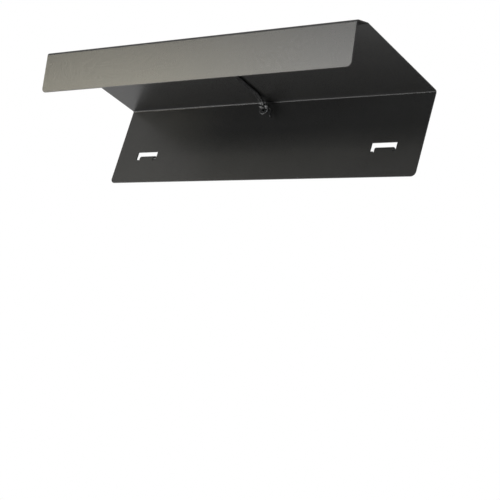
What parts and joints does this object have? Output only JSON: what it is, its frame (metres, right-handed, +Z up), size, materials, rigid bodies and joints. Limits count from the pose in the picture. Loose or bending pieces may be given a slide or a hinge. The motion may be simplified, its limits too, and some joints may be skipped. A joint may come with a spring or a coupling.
{
  "type": "music stand light",
  "caption": "Long bent-steel hood that hooks over the top edge of a music stand's desk, with a light channel hidden behind its front lip and a flat power lead with a rocker switch and plug.",
  "frame": {"origin": "on the panel's back face, in the middle, level with the sills of the hooks' windows, where the desk's top edge goes into the hooks", "axes": "+X along the hood, +Y towards the back of the stand, +Z up"},
  "size_m": [0.3556, 0.1653, 0.0802],
  "materials": {
    "hood": "fine satin powder coat, black",
    "channel_tape": "foam tape",
    "led_channel": "drawn, satin",
    "led_board": "white solder mask",
    "led_chips": "yellow gel in a white frame",
    "led_resistors": "black film",
    "diffuser": "frosted",
    "end_cap_left": "moulded",
    "end_cap_right": "moulded",
    "board_wires": "tinned copper",
    "solder_joints": "bright solder",
    "cord_clip": "moulded",
    "inner_lead": "glossy cord",
    "cord_tie": "moulded nylon",
    "grommet": "soft, dull",
    "cord_drop": "glossy cord",
    "switch_base": "fine grain",
    "switch_cover": "fine grain",
    "switch_rocker": "smooth",
    "rocker_pin": "drawn wire",
    "contact_spring": "spring bronze",
    "switch_terminals": "stamped",
    "through_wire": "glossy core",
    "switch_screws": "zinc plated",
    "cord_link": "glossy cord",
    "cord_hank": "glossy cord",
    "hank_tie": "hook and loop strap",
    "cord_tail": "glossy cord",
    "plug_body": "moulded grip",
    "plug_barrel": "nickel plated",
    "plug_insulator": "yellow moulding",
    "plug_contact": "nickel plated"
  },
  "bodies": {
    "light": {"hood": "hood", "channel_tape": "channel_tape", "led_channel": "led_channel", "led_board": "led_board", "led_chips": "led_chips", "led_resistors": "led_resistors", "diffuser": "diffuser", "end_cap_left": "end_cap_left", "end_cap_right": "end_cap_right", "board_wires": "board_wires", "solder_joints": "solder_joints", "cord_clip": "cord_clip", "inner_lead": "inner_lead", "cord_tie": "cord_tie", "grommet": "grommet", "cord_drop": "cord_drop", "switch_base": "switch_base", "switch_cover": "switch_cover", "rocker_pin": "rocker_pin", "contact_spring": "contact_spring", "switch_terminals": "switch_terminals", "through_wire": "through_wire", "switch_screws": "switch_screws", "cord_link": "cord_link", "cord_hank": "cord_hank", "hank_tie": "hank_tie", "cord_tail": "cord_tail", "plug_body": "plug_body", "plug_barrel": "plug_barrel", "plug_insulator": "plug_insulator", "plug_contact": "plug_contact"},
    "rocker": {"switch_rocker": "switch_rocker"}
  },
  "joints": [
    {"name": "rocker_tilt", "type": "hinge", "parent": "light", "child": "rocker", "pos_m": [-0.07, 0.034, 0.022], "axis": [0, 0, 1], "range_deg": [0, 18]}
  ]
}
